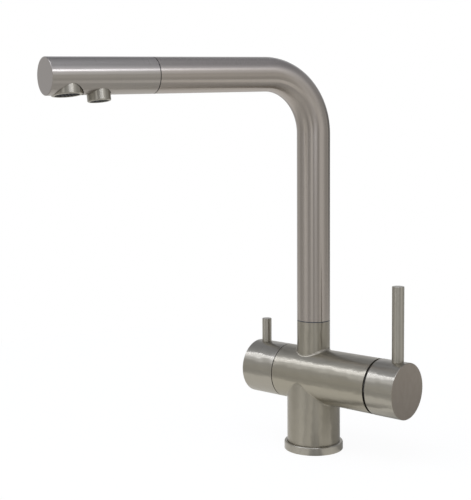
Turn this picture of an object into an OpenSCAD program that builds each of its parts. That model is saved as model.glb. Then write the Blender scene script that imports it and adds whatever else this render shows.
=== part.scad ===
// Three-way kitchen mixer tap with a swivel spout, a single-lever mixer on the right
// and a quarter-turn filtered-water valve on the left.
// The origin is the centre of the foot on the deck. Z is up, X runs along the body
// towards the mixer lever, and -Y faces the user. All sizes are in millimetres.

/* [Foot and column] */
// Diameter of the column
column_d = 45; // [44:0.5:50]
// Wall of the column round the inlet block
column_wall = 3.5; // [3:0.1:4]
// How far the base ring stands out past the column
base_ring_lip = 2.5; // [1.5:0.1:5]
// Height of the base ring
base_ring_h = 7; // [4.5:0.1:10]
// Thickness of the ledge in the base ring that the column stands on
base_ledge_h = 2; // [2:0.1:2.5]
// Depth of the seal groove under the base ring
seal_depth = 1.5; // [1:0.1:1.6]
// Height of the inlet block
block_h = 16; // [14:0.5:20]

/* [Body] */
// Diameter of the cross body and of the filter cap
body_d = 45.5; // [44:0.5:50]
// Height of the body's centreline above the deck
body_axis_z = 63.5; // [61:0.5:90]
// Length of the body from the column's axis to its filter end
filter_side_len = 27.6; // [26:0.2:36]
// Length of the body from the column's axis to its mixer end
mixer_side_len = 66; // [62:0.5:80]
// Height of the spout collar above the top of the body
collar_h = 24; // [22:0.2:40]
// Wall of the spout collar
collar_wall = 2; // [1.6:0.1:2.4]
// Thickness of the metal left between the filter valve's bore and the spout socket
socket_web = 5.3; // [5:0.1:7]

/* [Spout] */
// Diameter of the spout tube, its collar and its head
tube_d = 28; // [27:0.5:32]
// Wall of the spout tube
tube_wall = 1.2; // [1:0.1:1.6]
// Height at which the arm's centreline meets the column's axis
arm_z = 318.5; // [261:0.5:361]
// Radius of the bend, on the centreline
bend_r = 48; // [40:1:60]
// Length of the arm from the column's axis to the end of the head
arm_len = 240.5; // [220:0.5:260]
// Angle by which the arm falls towards its end
arm_droop = 2; // [0:0.5:8]
// Angle by which the spout is swung towards the filter side at rest
spout_swing = 15; // [0:1:60]
// Thickness of the slip ring under the spout
slip_ring_h = 0.7; // [0.5:0.1:1.2]
// Length of the spigot's upper part inside the tube
insert_grip = 14; // [10:1:20]

/* [Head and outlets] */
// Length of the separate head at the end of the arm
head_len = 87; // [84:0.5:100]
// Width of the dark seam between tube and head
head_seam_w = 0.6; // [0.4:0.1:1]
// Angle by which the head is turned about the arm, so that the outlets face the mixer side a little
head_turn = 7; // [0:1:15]
// Diameter of the main outlet's housing
aerator_d = 23.4; // [23:0.2:25]
// Distance from the end of the head to the main outlet's axis
aerator_from_end = 16; // [15.5:0.5:18]
// How far the main outlet stands below the head
aerator_drop = 0.1; // [0:0.1:3]
// Height of the main outlet's housing
aerator_h = 11.9; // [11:0.1:13]
// Diameter of the filtered water outlet
nozzle_d = 17.6; // [16:0.2:18]
// Distance from the end of the head to the filtered water outlet's axis
nozzle_from_end = 41; // [40.5:0.5:46]
// How far the filtered water outlet stands below the head
nozzle_drop = 5; // [4:0.1:9]
// Outer diameter of the inner tube for filtered water
filter_tube_d = 6; // [5:0.5:6]
// Wall of the inner tube
filter_tube_wall = 1; // [0.8:0.1:1.2]

/* [Mixer lever] */
// Length of the mixer cap
mixer_cap_len = 25.8; // [25:0.2:30]
// How far the mixer cap stands out past the body all round
mixer_cap_lip = 0.15; // [0:0.05:0.25]
// Gap between the body and the mixer cap
mixer_cap_gap = 2; // [2:0.1:2.8]
// Diameter of the mixer pin
mixer_pin_d = 9.8; // [8:0.2:11]
// Length of the mixer pin above the cap
mixer_pin_len = 60.5; // [40:0.5:90]
// Distance from the cap's face to the mixer pin's axis
mixer_pin_from_face = 9; // [8:0.1:9.4]
// Angle by which the lever lifts
lift_angle = 20; // [15:1:20]

/* [Filter lever] */
// Length of the filter cap
filter_cap_len = 32.7; // [30:0.1:38]
// Gap between the body and the filter cap
filter_cap_gap = 0.8; // [0.5:0.1:1.5]
// Diameter of the filter pin
filter_pin_d = 8.2; // [6:0.2:9]
// Length of the filter pin above the cap
filter_pin_len = 20; // [12:1:40]
// Distance from the cap's face to the filter pin's axis
filter_pin_from_face = 9.1; // [6.5:0.1:10]

/* [Cartridge] */
// Diameter of the ceramic cartridge
cartridge_d = 35; // [34:0.5:35]
// Thickness of the cartridge's base
cartridge_base_h = 6; // [5:0.5:7]
// Length of the cartridge's housing behind its nut
housing_drum_h = 16; // [15:0.5:18]
// Thickness of each ceramic disc
disc_h = 4; // [3.5:0.1:4.2]
// Length of the cartridge nut
nut_h = 7; // [6:0.5:8]
// Depth of the mouth that the cap's rim dips into
mouth_depth = 8; // [7.5:0.5:9]

/* [Inlets] */
// Tapping diameter of the hot and cold inlets, for M10 by 1
supply_hole_d = 9; // [8:0.1:9.2]
// Tapping diameter of the filtered water inlet, for M8 by 1
filter_hole_d = 7; // [6:0.1:7]
// Tapping diameter of the mounting stud's hole, for M8
stud_hole_d = 6.8; // [5:0.1:7]
// Depth of the tapped inlet holes
inlet_depth = 12; // [9:0.5:13]

/* [Fits] */
// Radial clearance of pieces that turn in each other
run_gap = 0.08; // [0.05:0.01:0.1]
// Radial clearance of pieces that are fixed in each other
seat_gap = 0.1; // [0.05:0.01:0.15]
// Gap between flat faces that slide on each other
face_gap = 0.05; // [0.03:0.01:0.1]
// Rounding of the outer edges
edge_r = 0.6; // [0.4:0.1:1]

/* [Hidden] */
$fn = 96;
over = 1;

column_r = column_d / 2;
column_bore_r = column_r - column_wall;
block_r = column_bore_r - 2 * seat_gap;
base_ring_r = column_r + base_ring_lip;
base_ring_edge = 1.2;
ring_on_column_gap = 0.15;
seal_inset = 1.5;
seal_outset = 1;
seal_in_r = column_bore_r + seal_inset;
seal_out_r = column_r + seal_outset;

body_r = body_d / 2;
body_top = body_axis_z + body_r;
collar_r = tube_d / 2;
collar_top = body_top + collar_h;

// Filter valve, measured from the body's filter end
valve_bore_r = 10.2;
valve_bore_depth = 19.6;
valve_r = valve_bore_r - seat_gap;
valve_floor_x = -filter_side_len + valve_bore_depth;
valve_seal_h = 1;
valve_seal_out_r = 9;
valve_seal_in_r = 4.8;
valve_inner_x = valve_floor_x - valve_seal_h;
valve_disc_h = 3;
valve_chamber_r = 7.3;
valve_disc_r = valve_chamber_r - seat_gap;
valve_moving_x = valve_inner_x - valve_disc_h - face_gap;
spindle_flange_x = valve_moving_x - valve_disc_h;
spindle_flange_h = 3.5;
valve_chamber_x = spindle_flange_x - spindle_flange_h - face_gap;
valve_hex_r = 13.5;
valve_hex_h = 5.4;
valve_neck_r = 9;
valve_neck_h = 5;
valve_neck_x = -filter_side_len - valve_hex_h - valve_neck_h;
spindle_r = 4;
spindle_flat = 3;
valve_port_r = 1.8;
valve_port_at = 4.2;

// Filter cap
filter_rim_x = -filter_side_len - filter_cap_gap;
filter_face_x = filter_rim_x - filter_cap_len;
filter_cap_wall = 3;
filter_boss_r = 8;
cavity_past_neck = 7;
boss_past_neck = 2;
spindle_past_cavity = 5;
spindle_end_gap = 0.3;
screw_past_cavity = 2.5;
filter_cavity_x = valve_neck_x - cavity_past_neck;
filter_boss_x = valve_neck_x - boss_past_neck;
spindle_end_x = filter_cavity_x - spindle_past_cavity;
filter_screw_x = filter_cavity_x - screw_past_cavity;
filter_pin_x = filter_face_x + filter_pin_from_face;
filter_pin_r = filter_pin_d / 2;
pin_seat = 2.2;
pin_low_edge = 0.2;
pin_top_edge = 0.4;
stud_end_gap = 0.4;
rim_edge = 0.3;
outlet_edge = 1.5 * edge_r;
filter_stud_r = 2;
filter_stud_len = 6;

// Spout socket, filtered water nipple and drillings
socket_r = collar_r - collar_wall;
socket_floor = body_axis_z + valve_bore_r + socket_web;
nipple_seat_depth = 5;
nipple_seat_r = 4;
nipple_cup_r = 5;
nipple_h = 10;
nipple_step = 1;
filter_feed_r = 2.2;
filter_way_r = 2;
supply_way_r = 2.8;
mixed_way_r = 3.5;
mixed_way_x = 8;

// Cartridge, measured back from the body's mixer end
mouth_lip = 0.85;
mouth_r = body_r - mouth_lip;
nut_x = mixer_side_len - mouth_depth - nut_h;
nut_step = 2;
nut_bore_r = cartridge_d / 2 + nut_step;
nut_r = nut_bore_r - seat_gap;
nut_slot_w = 3;
nut_slot_depth = 2.5;
cartridge_bore_r = cartridge_d / 2 + 2 * seat_gap;
cartridge_r = cartridge_bore_r - 2 * seat_gap;
housing_x = nut_x - housing_drum_h;
cartridge_x = housing_x - cartridge_base_h;
supply_port_y = 6.5;
supply_port_z = 6.5;
disc_port_y = 5.5;
disc_port_z = 5.5;
disc_port_r = 2;
mixed_port_z = -5;
seal_cup_depth = 1.5;
seal_cup_wall = 1.4;
peg_r = 1.5;
peg_h = 3;
peg_y = 13;
housing_wall = 1.7;
housing_bore_r = cartridge_r - housing_wall;
fixed_disc_r = housing_bore_r - seat_gap;
mixing_disc_x = housing_x + disc_h + face_gap;
mixing_disc_r = 10.5;
mixing_pocket_r = 7;
mixing_pocket_z = -3;
mixing_pocket_depth = 2.2;
carrier_x = mixing_disc_x + disc_h;
carrier_h = 3.4;
carrier_r = 10;
carrier_end_gap = 0.4;
front_wall_x = carrier_x + carrier_h + carrier_end_gap;
neck_low_r = 13.2;
neck_high_r = 12;
neck_bore_r = 10.1;

// Lever pivot and the pieces round it
pivot_ahead = 15;
pivot_x = mixer_side_len + pivot_ahead;
neck_step_x = mixer_side_len;
neck_behind_pivot = 7;
neck_top_x = pivot_x - neck_behind_pivot;
collar_spigot_len = 3.4;
collar_spigot_x = neck_top_x - collar_spigot_len;
collar_flange_r = 11;
collar_past_pivot = 2;
collar_end_x = pivot_x + collar_past_pivot;
stem_side = 8;
stem_block_x = pivot_x - stem_side / 2;
stem_end_gap = 0.2;
stem_shaft_r = 2;
ball_r = 2.9;
ball_back = 14;
ball_x = pivot_x - ball_back;
ball_gap = 0.15;
tower_r = 4.5;
tower_past_ball = 2.5;
tower_end_x = ball_x + tower_past_ball;
tower_socket_depth = 6;
pivot_pin_r = 1.25;
pivot_pin_len = 20;
slot_side_gap = 0.1;
slot_low_gap = 1.6;
slot_high_gap = 1.2;
slot_low = stem_side / 2 + slot_low_gap;
slot_high = (pivot_x - collar_spigot_x) * tan(lift_angle) + stem_shaft_r / cos(lift_angle) + slot_high_gap;

// Mixer cap
mixer_cap_r = body_r + mixer_cap_lip;
mixer_rim_x = mixer_side_len + mixer_cap_gap;
mixer_face_x = mixer_rim_x + mixer_cap_len;
mixer_cap_wall = 2.5;
mixer_seat_wall = 6;
mixer_step_back = 2;
mixer_cavity_ahead = 6.5;
mixer_socket_depth = 3;
mixer_step_x = pivot_x - mixer_step_back;
mixer_cavity_x = pivot_x + mixer_cavity_ahead;
mixer_socket_x = mixer_cavity_x + mixer_socket_depth;
mixer_screw_x = mixer_cavity_x + mixer_socket_depth / 2;
mixer_pin_x = mixer_face_x - mixer_pin_from_face;
mixer_pin_r = mixer_pin_d / 2;
mixer_stud_r = 2.5;
set_screw_r = 1.6;
set_screw_len = 7;
set_screw_key = 2;

// Spout
slip_gap = 0.1;
slip_ring_inset = 0.15;
spout_foot = collar_top + slip_ring_h + slip_gap;
tube_r = tube_d / 2;
tube_bore_r = tube_r - tube_wall;
bend_angle = 90 + arm_droop;
bend_reach = bend_r * tan(bend_angle / 2);
bend_z = arm_z - bend_reach;
spigot_r = socket_r - run_gap;
spigot_wall = 3.9;
insert_bore_r = spigot_r - spigot_wall;
insert_r = tube_bore_r - seat_gap;
spigot_lift = 0.6;
o_ring_r = 1.3;
o_ring_to_bore = 0.05;
o_ring_above_floor = 6;
o_ring_below_top = 5.2;
o_ring_in_r = socket_r - o_ring_to_bore - 2 * o_ring_r;
o_ring_z = [socket_floor + o_ring_above_floor, collar_top - o_ring_below_top];
keeper_above_middle = 1;
keeper_z = (o_ring_z[0] + o_ring_z[1]) / 2 + keeper_above_middle;
keeper_groove_depth = 1.7;
keeper_groove_r = spigot_r - keeper_groove_depth;
keeper_gap = 0.3;
keeper_tip_r = 1.7;
keeper_body_r = 2.5;
keeper_sunk = 0.2;

// Head
head_x = arm_len - head_len;
tube_end_x = head_x - head_seam_w;
head_r = tube_r;
head_wide_wall = 3.5;
head_way_wall = 5.5;
head_wide_r = head_r - head_wide_wall;
head_way_r = head_r - head_way_wall;
head_joint_edge = 0.2;
seam_inset = 0.3;
head_wide_len = 22;
head_end_wall = 8.5;
adapter_in_tube = 15;
adapter_in_head = 14;
adapter_bore_r = 7.5;
aerator_x = arm_len - aerator_from_end;
aerator_r = aerator_d / 2;
port_gap = 0.4;
port_roof_gap = 0.2;
aerator_low = -head_r - aerator_drop;
aerator_high = aerator_low + aerator_h;
aerator_wall = 2.6;
aerator_bore_r = aerator_r - aerator_wall;
aerator_roof = 1.5;
washer_h = 1.5;
washer_in_r = 7.4;
aerator_in_r = aerator_bore_r - seat_gap;
aerator_recess = 0.5;
jet_r = 0.9;
jet_pitch = 2.5;
jet_rings = 3;
nozzle_x = arm_len - nozzle_from_end;
nozzle_r = nozzle_d / 2;
nozzle_low = -head_r - nozzle_drop;
nozzle_high = -head_way_r - seat_gap;
nozzle_port_gap = 0.2;
nozzle_wall = 1.8;
nozzle_bore_r = nozzle_r - nozzle_wall;
nozzle_roof_h = 4.4;
nozzle_ring_r = 0.8;
nozzle_ring_below = 1.1;
nozzle_ring_z = nozzle_high - nozzle_ring_below;
screen_h = 2.5;
screen_recess = 0.5;
screen_jet_at = 3.5;
filter_tube_r = filter_tube_d / 2;
filter_tube_bore_r = filter_tube_r - filter_tube_wall;
elbow_r = 8;
elbow_drop = 3;
filter_tube_lift = 3;
filter_tube_foot = socket_floor + filter_tube_lift;

// Inlet positions in the block: each has an X and a Y
supply_at = [[11.5, -supply_port_y], [11.5, supply_port_y]];
filter_inlet_at = [-14.5, 0];
stud_at = [-2.5, 13];

// A rod along X on the body's centreline
module rod_x(x0, x1, r) {
    translate([x0, 0, body_axis_z])
        rotate([0, 90, 0])
            cylinder(h = x1 - x0, r = r);
}

// A rod along X, set off the body's centreline by y and z
module rod_x_at(x0, x1, r, y, z) {
    translate([0, y, z])
        rod_x(x0, x1, r);
}

// Half outline of a rod whose two outer edges are rounded by their own radii
module rounded_outline(r, h, low_edge, high_edge) {
    translate([0, low_edge])
        square([r, h - low_edge - high_edge]);
    square([r - low_edge, h / 2]);
    translate([0, h / 2])
        square([r - high_edge, h / 2]);
    translate([r - low_edge, low_edge])
        circle(low_edge);
    translate([r - high_edge, h - high_edge])
        circle(high_edge);
}

module rounded_rod(r, h, low_edge, high_edge) {
    rotate_extrude()
        rounded_outline(r, h, low_edge, high_edge);
}

module ring(out_r, in_r, h) {
    difference() {
        cylinder(h = h, r = out_r);
        translate([0, 0, -over])
            cylinder(h = h + 2 * over, r = in_r);
    }
}

module o_ring(mid_r, section_r) {
    rotate_extrude()
        translate([mid_r, 0])
            circle(section_r);
}

// Places what follows in the spout's own frame, with the arm over +X
module in_spout() {
    rotate([0, 0, -90 - spout_swing])
        children();
}

// Places what follows on the arm: X runs along the arm from the column's axis
module on_arm() {
    in_spout()
        translate([0, 0, arm_z])
            rotate([0, arm_droop, 0])
                children();
}

module on_head() {
    on_arm()
        rotate([head_turn, 0, 0])
            children();
}

module rod_on_arm(x0, x1, r) {
    translate([x0, 0, 0])
        rotate([0, 90, 0])
            cylinder(h = x1 - x0, r = r);
}

// A round bar that follows the spout's centreline from a height to a place on the arm
module spout_bar(z0, x1, r) {
    in_spout()
        translate([0, 0, z0])
            cylinder(h = bend_z - z0, r = r);
    in_spout()
        translate([bend_r, 0, bend_z])
            rotate([90, 0, 0])
                intersection() {
                    rotate_extrude()
                        translate([bend_r, 0])
                            circle(r);
                    rotate([0, 0, 180 - bend_angle])
                        pie(2 * bend_r, bend_angle, r + over);
                }
    on_arm()
        rod_on_arm(bend_reach, x1, r);
}

// A slice of a disc from the +X side round by an angle over 90 degrees, half_h either way of its plane
module pie(r, angle, half_h) {
    translate([0, 0, -half_h])
        linear_extrude(2 * half_h)
            polygon([[0, 0], [r, 0], [r, r], [0, r], [r * cos(angle), r * sin(angle)]]);
}

module base_ring() {
    color("#8f8b85")
    difference() {
        rounded_rod(base_ring_r, base_ring_h, base_ring_edge / 2, base_ring_edge);
        translate([0, 0, -over])
            cylinder(h = base_ring_h + 2 * over, r = column_bore_r);
        translate([0, 0, base_ledge_h])
            cylinder(h = base_ring_h, r = column_r + ring_on_column_gap);
        translate([0, 0, -over])
            ring(seal_out_r, seal_in_r, seal_depth + over);
    }
}

module base_seal() {
    color("#202022")
    ring(seal_out_r - seat_gap, seal_in_r + seat_gap, seal_depth);
}

module inlet_block() {
    color("#b5975a")
    difference() {
        cylinder(h = block_h, r = block_r);
        for (at = supply_at) {
            translate([at[0], at[1], -over])
                cylinder(h = inlet_depth + over, d = supply_hole_d);
            translate([at[0], at[1], 0])
                cylinder(h = block_h + over, r = supply_way_r);
        }
        translate([filter_inlet_at[0], filter_inlet_at[1], -over])
            cylinder(h = inlet_depth + over, d = filter_hole_d);
        translate([filter_inlet_at[0], filter_inlet_at[1], 0])
            cylinder(h = block_h + over, r = filter_feed_r);
        translate([stud_at[0], stud_at[1], -over])
            cylinder(h = inlet_depth + over, d = stud_hole_d);
    }
}

// Drillings that carry the water through the body
module waterways() {
    for (at = supply_at) {
        translate([at[0], at[1], block_h - over])
            cylinder(h = body_axis_z + supply_port_z - block_h + over, r = supply_way_r);
        rod_x_at(at[0], cartridge_x + over, supply_way_r, at[1], supply_port_z);
    }
    rod_x_at(mixed_way_x, cartridge_x + over, mixed_way_r, 0, mixed_port_z);
    translate([mixed_way_x, 0, body_axis_z + mixed_port_z])
        cylinder(h = socket_floor - body_axis_z - mixed_port_z + over, r = mixed_way_r);
    translate([filter_inlet_at[0], filter_inlet_at[1], block_h - over])
        cylinder(h = body_axis_z - block_h, r = filter_feed_r);
    rod_x(valve_floor_x - over, 0, filter_way_r);
    translate([0, 0, body_axis_z])
        cylinder(h = socket_floor - body_axis_z, r = filter_way_r);
}

module tap_body() {
    color("#8f8b85")
    difference() {
        union() {
            translate([0, 0, base_ledge_h])
                cylinder(h = body_axis_z - base_ledge_h, r = column_r);
            rod_x(-filter_side_len, mixer_side_len, body_r);
            translate([0, 0, body_axis_z])
                cylinder(h = collar_top - body_axis_z, r = collar_r);
        }
        cylinder(h = block_h, r = column_bore_r);
        rod_x(cartridge_x, mixer_side_len, cartridge_bore_r);
        rod_x(nut_x, mixer_side_len + over, nut_bore_r);
        rod_x(mixer_side_len - mouth_depth, mixer_side_len + over, mouth_r);
        for (side = [-1, 1])
            rod_x_at(cartridge_x - peg_h - seat_gap, cartridge_x + over, peg_r + seat_gap, side * peg_y, 0);
        rod_x(-filter_side_len - over, valve_floor_x, valve_bore_r);
        translate([0, 0, socket_floor])
            cylinder(h = collar_top, r = socket_r);
        translate([0, 0, socket_floor - nipple_seat_depth])
            cylinder(h = nipple_seat_depth + over, r = nipple_seat_r + seat_gap);
        translate([0, socket_r - over, keeper_z])
            rotate([-90, 0, 0])
                cylinder(h = collar_wall + 2 * over, r = keeper_body_r + seat_gap);
        waterways();
    }
}

module retaining_screw() {
    color("#77756f")
    translate([0, 0, keeper_z])
        rotate([-90, 0, 0]) {
            translate([0, 0, socket_r])
                cylinder(h = collar_wall - keeper_sunk, r = keeper_body_r);
            translate([0, 0, keeper_groove_r + keeper_gap])
                cylinder(h = socket_r - keeper_groove_r, r = keeper_tip_r);
        }
}

module slip_ring() {
    color("#161616")
    translate([0, 0, collar_top])
        ring(collar_r - slip_ring_inset, socket_r, slip_ring_h);
}

module filter_nipple() {
    color("#b5975a")
    difference() {
        union() {
            translate([0, 0, socket_floor - nipple_seat_depth])
                cylinder(h = nipple_seat_depth, r = nipple_seat_r);
            translate([0, 0, socket_floor])
                cylinder(h = nipple_h, r = nipple_cup_r);
        }
        translate([0, 0, filter_tube_foot - nipple_step])
            cylinder(h = nipple_h, r = filter_tube_r + run_gap);
        translate([0, 0, socket_floor - nipple_seat_depth - over])
            cylinder(h = nipple_h, r = filter_way_r);
    }
}

module cartridge_base() {
    color("#c9c7c0")
    difference() {
        union() {
            rod_x(cartridge_x, housing_x, cartridge_r);
            for (side = [-1, 1])
                rod_x_at(cartridge_x - peg_h, cartridge_x + over, peg_r, side * peg_y, 0);
        }
        for (side = [-1, 1]) {
            rod_x_at(cartridge_x - over, cartridge_x + seal_cup_depth,
                supply_way_r + seal_cup_wall + seat_gap, side * supply_port_y, supply_port_z);
            rod_x_at(cartridge_x, housing_x + over, disc_port_r, side * disc_port_y, disc_port_z);
        }
        rod_x_at(cartridge_x - over, cartridge_x + seal_cup_depth,
            mixed_way_r + seal_cup_wall + seat_gap, 0, mixed_port_z);
        rod_x_at(cartridge_x, housing_x + over, mixed_way_r, 0, mixed_port_z);
    }
}

module port_seal(way_r, y, z) {
    translate([cartridge_x, y, body_axis_z + z])
        rotate([0, 90, 0])
            ring(way_r + seal_cup_wall, way_r, seal_cup_depth);
}

module cartridge_seals() {
    color("#202022") {
        for (side = [-1, 1])
            port_seal(supply_way_r, side * supply_port_y, supply_port_z);
        port_seal(mixed_way_r, 0, mixed_port_z);
    }
}

module fixed_disc() {
    color("#ece9e2")
    difference() {
        rod_x(housing_x, housing_x + disc_h, fixed_disc_r);
        for (side = [-1, 1])
            rod_x_at(housing_x - over, housing_x + disc_h + over, disc_port_r,
                side * disc_port_y, disc_port_z);
        rod_x_at(housing_x - over, housing_x + disc_h + over, mixed_way_r, 0, mixed_port_z);
    }
}

module mixing_disc() {
    color("#e4e0d8")
    difference() {
        rod_x(mixing_disc_x, mixing_disc_x + disc_h, mixing_disc_r);
        rod_x_at(mixing_disc_x - over, mixing_disc_x + mixing_pocket_depth, mixing_pocket_r,
            0, mixing_pocket_z);
    }
}

module disc_carrier() {
    color("#3f4247")
    difference() {
        union() {
            rod_x(carrier_x, carrier_x + carrier_h, carrier_r);
            rod_x(carrier_x, tower_end_x, tower_r);
        }
        rod_x(tower_end_x - tower_socket_depth, tower_end_x + over, ball_r + ball_gap);
    }
}

module cartridge_housing() {
    color("#d8d5cd")
    difference() {
        union() {
            rod_x(housing_x, nut_x, cartridge_r);
            rod_x(nut_x - over, neck_step_x, neck_low_r);
            rod_x(nut_x, neck_top_x, neck_high_r);
        }
        rod_x(housing_x - over, front_wall_x, housing_bore_r);
        rod_x(housing_x, neck_top_x + over, neck_bore_r);
    }
}

module cartridge_nut() {
    color("#a08a5c")
    difference() {
        rod_x(nut_x, nut_x + nut_h, nut_r);
        rod_x(nut_x - over, nut_x + nut_h + over, neck_low_r + 2 * seat_gap);
        for (turn = [0 : 60 : 300])
            translate([nut_x + nut_h, 0, body_axis_z])
                rotate([turn, 0, 0])
                    translate([-nut_h / 3, -nut_slot_w / 2, nut_r - nut_slot_depth])
                        cube([nut_h, nut_slot_w, nut_slot_depth + over]);
    }
}

module cartridge_collar() {
    color("#3f4247")
    difference() {
        union() {
            rod_x(collar_spigot_x, neck_top_x + over, neck_bore_r - run_gap);
            rod_x(neck_top_x + slip_gap, collar_end_x, collar_flange_r);
        }
        translate([collar_spigot_x - over, -stem_side / 2 - slot_side_gap, body_axis_z - slot_low])
            cube([
                collar_end_x - collar_spigot_x + 2 * over,
                stem_side + 2 * slot_side_gap,
                slot_low + slot_high
            ]);
        translate([pivot_x, 0, body_axis_z])
            rotate([90, 0, 0])
                cylinder(h = 3 * collar_flange_r, r = pivot_pin_r + seat_gap / 2, center = true);
    }
}

module pivot_pin() {
    color("#b9b7b2")
    translate([pivot_x, 0, body_axis_z])
        rotate([90, 0, 0])
            cylinder(h = pivot_pin_len, r = pivot_pin_r, center = true);
}

module lever_stem() {
    color("#b9b7b2")
    difference() {
        union() {
            translate([stem_block_x, -stem_side / 2, body_axis_z - stem_side / 2])
                cube([mixer_socket_x - stem_end_gap - stem_block_x, stem_side, stem_side]);
            rod_x(ball_x, stem_block_x + over, stem_shaft_r);
            translate([ball_x, 0, body_axis_z])
                sphere(ball_r);
        }
        translate([pivot_x, 0, body_axis_z])
            rotate([90, 0, 0])
                cylinder(h = 2 * stem_side, r = pivot_pin_r + run_gap, center = true);
    }
}

// A blind or through hole from below, up to a distance under the body's centreline
module hole_from_below(x, r, reach_r) {
    translate([x, 0, body_axis_z - body_r - over])
        cylinder(h = body_r + over - reach_r, r = r);
}

module set_screw(x, from_r) {
    translate([x, 0, body_axis_z - from_r - set_screw_len])
        difference() {
            cylinder(h = set_screw_len, r = set_screw_r);
            translate([0, 0, -over])
                cylinder(h = set_screw_key + over, d = set_screw_key, $fn = 6);
        }
}

// A lever pin with its stud, standing in its seat in a cap
module lever_pin(x, cap_r, r, pin_len, stud_r, stud_len) {
    translate([x, 0, body_axis_z + cap_r - pin_seat])
        rounded_rod(r, pin_len + pin_seat, pin_low_edge, pin_top_edge);
    translate([x, 0, body_axis_z + cap_r - pin_seat - stud_len])
        cylinder(h = stud_len + over, r = stud_r);
}

module lever_pin_seat(x, cap_r, r, stud_r, stud_len) {
    translate([x, 0, body_axis_z + cap_r - pin_seat])
        cylinder(h = pin_seat + over, r = r + seat_gap / 2);
    translate([x, 0, body_axis_z + cap_r - pin_seat - stud_len])
        cylinder(h = stud_len + over, r = stud_r + seat_gap / 2);
}

module mixer_cap() {
    color("#8f8b85")
    difference() {
        translate([mixer_rim_x, 0, body_axis_z])
            rotate([0, 90, 0])
                rounded_rod(mixer_cap_r, mixer_cap_len, rim_edge, edge_r);
        rod_x(mixer_rim_x - over, mixer_step_x, mixer_cap_r - mixer_cap_wall);
        rod_x(mixer_rim_x, mixer_cavity_x, mixer_cap_r - mixer_seat_wall);
        translate([mixer_cavity_x - over, -stem_side / 2 - seat_gap, body_axis_z - stem_side / 2 - seat_gap])
            cube([
                mixer_socket_x - mixer_cavity_x + over,
                stem_side + 2 * seat_gap,
                stem_side + 2 * seat_gap
            ]);
        lever_pin_seat(mixer_pin_x, mixer_cap_r, mixer_pin_r, mixer_stud_r,
            mixer_seat_wall - pin_seat + over);
        hole_from_below(mixer_screw_x, set_screw_r + seat_gap / 2, stem_side / 2);
    }
}

module mixer_pin() {
    color("#8f8b85")
    lever_pin(mixer_pin_x, mixer_cap_r, mixer_pin_r, mixer_pin_len, mixer_stud_r,
        mixer_seat_wall - pin_seat - stud_end_gap);
}

module mixer_set_screw() {
    color("#4c4b48")
    set_screw(mixer_screw_x, stem_side / 2 + seat_gap);
}

module filter_valve_body() {
    color("#b5975a")
    difference() {
        union() {
            rod_x(-filter_side_len - over, valve_inner_x, valve_r);
            translate([-filter_side_len - valve_hex_h, 0, body_axis_z])
                rotate([0, 90, 0])
                    cylinder(h = valve_hex_h, r = valve_hex_r, $fn = 6);
            rod_x(valve_neck_x, -filter_side_len - over, valve_neck_r);
        }
        rod_x(valve_chamber_x, valve_inner_x + over, valve_chamber_r);
        rod_x(valve_neck_x - over, valve_inner_x, spindle_r + run_gap);
        translate([filter_inlet_at[0], 0, body_axis_z - valve_bore_r - over])
            cylinder(h = valve_bore_r, r = filter_feed_r);
    }
}

module filter_valve_seal() {
    color("#202022")
    translate([valve_inner_x, 0, body_axis_z])
        rotate([0, 90, 0])
            ring(valve_seal_out_r, valve_seal_in_r, valve_seal_h);
}

// A ceramic valve disc with two opposite ports, turned by an angle
module valve_disc(x, turn) {
    difference() {
        rod_x(x, x + valve_disc_h, valve_disc_r);
        for (half = [0, 180])
            translate([x - over, 0, body_axis_z])
                rotate([turn + half, 0, 0])
                    translate([0, 0, valve_port_at])
                        rotate([0, 90, 0])
                            cylinder(h = valve_disc_h + 2 * over, r = valve_port_r);
    }
}

module filter_fixed_disc() {
    color("#ece9e2")
    valve_disc(valve_inner_x - valve_disc_h, 0);
}

module filter_moving_disc() {
    color("#e4e0d8")
    valve_disc(valve_moving_x - valve_disc_h, 90);
}

module filter_spindle() {
    color("#b5975a")
    difference() {
        union() {
            rod_x(spindle_flange_x - spindle_flange_h, spindle_flange_x, valve_disc_r);
            rod_x(spindle_end_x, spindle_flange_x, spindle_r);
        }
        translate([spindle_end_x - over, -spindle_r - over, body_axis_z - spindle_r - over])
            cube([
                filter_boss_x - spindle_end_x + over,
                2 * spindle_r + 2 * over,
                spindle_r + over - spindle_flat
            ]);
    }
}

module filter_cap() {
    color("#8f8b85")
    difference() {
        translate([filter_face_x, 0, body_axis_z])
            rotate([0, 90, 0])
                rounded_rod(body_r, filter_cap_len, edge_r, rim_edge);
        difference() {
            rod_x(filter_cavity_x, filter_rim_x + over, body_r - filter_cap_wall);
            rod_x(filter_cavity_x - over, filter_boss_x, filter_boss_r);
        }
        rod_x(spindle_end_x - spindle_end_gap, filter_boss_x + over, spindle_r + seat_gap);
        lever_pin_seat(filter_pin_x, body_r, filter_pin_r, filter_stud_r,
            filter_stud_len + stud_end_gap);
        hole_from_below(filter_screw_x, set_screw_r + seat_gap / 2, spindle_flat);
    }
}

module filter_pin() {
    color("#8f8b85")
    lever_pin(filter_pin_x, body_r, filter_pin_r, filter_pin_len, filter_stud_r, filter_stud_len);
}

module filter_set_screw() {
    color("#4c4b48")
    set_screw(filter_screw_x, spindle_flat + seat_gap);
}

module spout_tube() {
    color("#8f8b85")
    difference() {
        spout_bar(spout_foot, tube_end_x, tube_r);
        spout_bar(spout_foot - over, tube_end_x + over, tube_bore_r);
    }
}

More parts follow.
